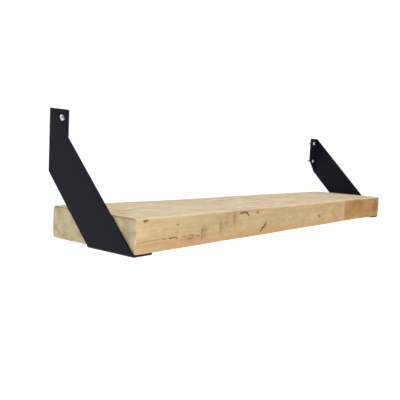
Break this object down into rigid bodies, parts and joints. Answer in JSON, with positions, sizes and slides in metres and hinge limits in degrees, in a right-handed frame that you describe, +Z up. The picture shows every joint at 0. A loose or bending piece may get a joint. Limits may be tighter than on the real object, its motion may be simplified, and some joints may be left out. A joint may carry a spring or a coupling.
{
  "type": "wall shelf with brackets",
  "caption": "Thick softwood plank shelf held at its two ends by mirrored one-piece folded steel brackets that screw to the wall.",
  "frame": {"origin": "on the wall plane, at mid-length, level with the plank's top face", "axes": "+X along the shelf to the right, +Y into the wall, +Z up"},
  "size_m": [0.9066, 0.2127, 0.2063],
  "materials": {
    "softwood": "bare planed softwood with knots and worn edges",
    "powder_coat": "matt black powder coat, fine texture",
    "zinc": "bright zinc plate"
  },
  "bodies": {
    "root": {"shelf_plank": "softwood", "left_bracket": "powder_coat", "right_bracket": "powder_coat", "left_wall_screw_upper": "zinc", "left_wall_screw_lower": "zinc", "right_wall_screw_upper": "zinc", "right_wall_screw_lower": "zinc", "left_shelf_screw_front": "zinc", "left_shelf_screw_rear": "zinc", "right_shelf_screw_front": "zinc", "right_shelf_screw_rear": "zinc"}
  },
  "joints": []
}
